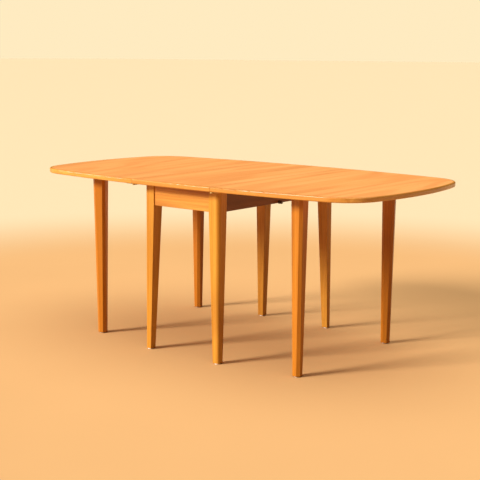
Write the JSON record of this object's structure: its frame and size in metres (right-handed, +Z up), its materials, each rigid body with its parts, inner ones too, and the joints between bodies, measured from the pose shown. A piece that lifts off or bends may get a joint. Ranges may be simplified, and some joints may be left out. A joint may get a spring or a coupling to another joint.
{
  "type": "drop leaf table",
  "caption": "Drop leaf dining table with bowed sides, rounded corners, hinged end leaves, tapered legs and leaf legs that fold flat under each leaf.",
  "frame": {"origin": "on the floor under the middle of the raised top", "axes": "+X along the length across both leaf seams, +Y across the width, +Z up"},
  "size_m": [1.8018, 0.966, 0.74],
  "materials": {
    "veneered_board": "satin lacquered light teak or afrormosia veneer, grain across the table",
    "lipping": "satin lacquered solid edge strip",
    "apron_wood": "satin lacquered, grain along the rail",
    "leg_wood": "satin lacquered, grain along the leg",
    "inner_wood": "bare sanded beech",
    "felt": "pale felt",
    "rubber": "dark matte rubber",
    "fibre": "red vulcanised fibre",
    "screw_steel": "zinc plated",
    "pin_steel": "ground bright",
    "brass": "aged lacquered brass",
    "mount_steel": "black painted steel"
  },
  "bodies": {
    "root": {"centre_hinge_flaps_left": "brass", "centre_hinge_flaps_right": "brass", "centre_hinge_screws": "screw_steel", "centre_lipping_far": "lipping", "centre_lipping_near": "lipping", "centre_panel": "veneered_board", "corner_block_screws": "screw_steel", "corner_blocks": "inner_wood", "fixed_leg_far_left": "leg_wood", "fixed_leg_far_right": "leg_wood", "fixed_leg_near_left": "leg_wood", "fixed_leg_near_right": "leg_wood", "fixed_leg_pads": "felt", "hinge_pins_left": "brass", "hinge_pins_right": "brass", "leaf_buffer_left": "rubber", "leaf_buffer_right": "rubber", "leaf_buffer_screws": "screw_steel", "long_apron_left": "apron_wood", "long_apron_right": "apron_wood", "short_apron_far": "apron_wood", "short_apron_near": "apron_wood", "top_button_screws": "screw_steel", "top_buttons": "inner_wood"},
    "left_far_leg": {"left_far_friction_washers": "fibre", "left_far_leaf_leg": "leg_wood", "left_far_leg_pad": "felt", "left_far_pivot_pin": "pin_steel", "left_far_pivot_plugs": "leg_wood"},
    "left_leaf": {"left_far_leg_mount": "mount_steel", "left_leaf_hinge_flaps": "brass", "left_leaf_hinge_screws": "screw_steel", "left_leaf_lipping": "lipping", "left_leaf_panel": "veneered_board", "left_leg_mount_screws": "screw_steel", "left_near_leg_mount": "mount_steel"},
    "left_near_leg": {"left_near_friction_washers": "fibre", "left_near_leaf_leg": "leg_wood", "left_near_leg_pad": "felt", "left_near_pivot_pin": "pin_steel", "left_near_pivot_plugs": "leg_wood"},
    "right_far_leg": {"right_far_friction_washers": "fibre", "right_far_leaf_leg": "leg_wood", "right_far_leg_pad": "felt", "right_far_pivot_pin": "pin_steel", "right_far_pivot_plugs": "leg_wood"},
    "right_leaf": {"right_far_leg_mount": "mount_steel", "right_leaf_hinge_flaps": "brass", "right_leaf_hinge_screws": "screw_steel", "right_leaf_lipping": "lipping", "right_leaf_panel": "veneered_board", "right_leg_mount_screws": "screw_steel", "right_near_leg_mount": "mount_steel"},
    "right_near_leg": {"right_near_friction_washers": "fibre", "right_near_leaf_leg": "leg_wood", "right_near_leg_pad": "felt", "right_near_pivot_pin": "pin_steel", "right_near_pivot_plugs": "leg_wood"}
  },
  "joints": [
    {"name": "right_leaf_drop", "type": "hinge", "parent": "root", "child": "right_leaf", "pos_m": [0.2125, 0, 0.7165], "axis": [0, 1, 0], "range_deg": [0, 90]},
    {"name": "right_near_leg_fold", "type": "hinge", "parent": "right_leaf", "child": "right_near_leg", "pos_m": [0.545, -0.333, 0.6895], "axis": [0.9945, 0.1045, 0], "range_deg": [0, 85]},
    {"name": "right_far_leg_fold", "type": "hinge", "parent": "right_leaf", "child": "right_far_leg", "pos_m": [0.545, 0.333, 0.6895], "axis": [-0.9205, -0.3907, 0], "range_deg": [0, 85]},
    {"name": "left_leaf_drop", "type": "hinge", "parent": "root", "child": "left_leaf", "pos_m": [-0.2125, 0, 0.7165], "axis": [0, -1, 0], "range_deg": [0, 90]},
    {"name": "left_near_leg_fold", "type": "hinge", "parent": "left_leaf", "child": "left_near_leg", "pos_m": [-0.545, -0.333, 0.6895], "axis": [0.9205, 0.3907, 0], "range_deg": [0, 85]},
    {"name": "left_far_leg_fold", "type": "hinge", "parent": "left_leaf", "child": "left_far_leg", "pos_m": [-0.545, 0.333, 0.6895], "axis": [-0.9945, -0.1045, 0], "range_deg": [0, 85]}
  ],
  "couplings": [
    {"joint": "right_near_leg_fold", "follows": "right_leaf_drop", "ratio": 0.9444},
    {"joint": "right_far_leg_fold", "follows": "right_leaf_drop", "ratio": 0.9444},
    {"joint": "left_near_leg_fold", "follows": "left_leaf_drop", "ratio": 0.9444},
    {"joint": "left_far_leg_fold", "follows": "left_leaf_drop", "ratio": 0.9444}
  ]
}
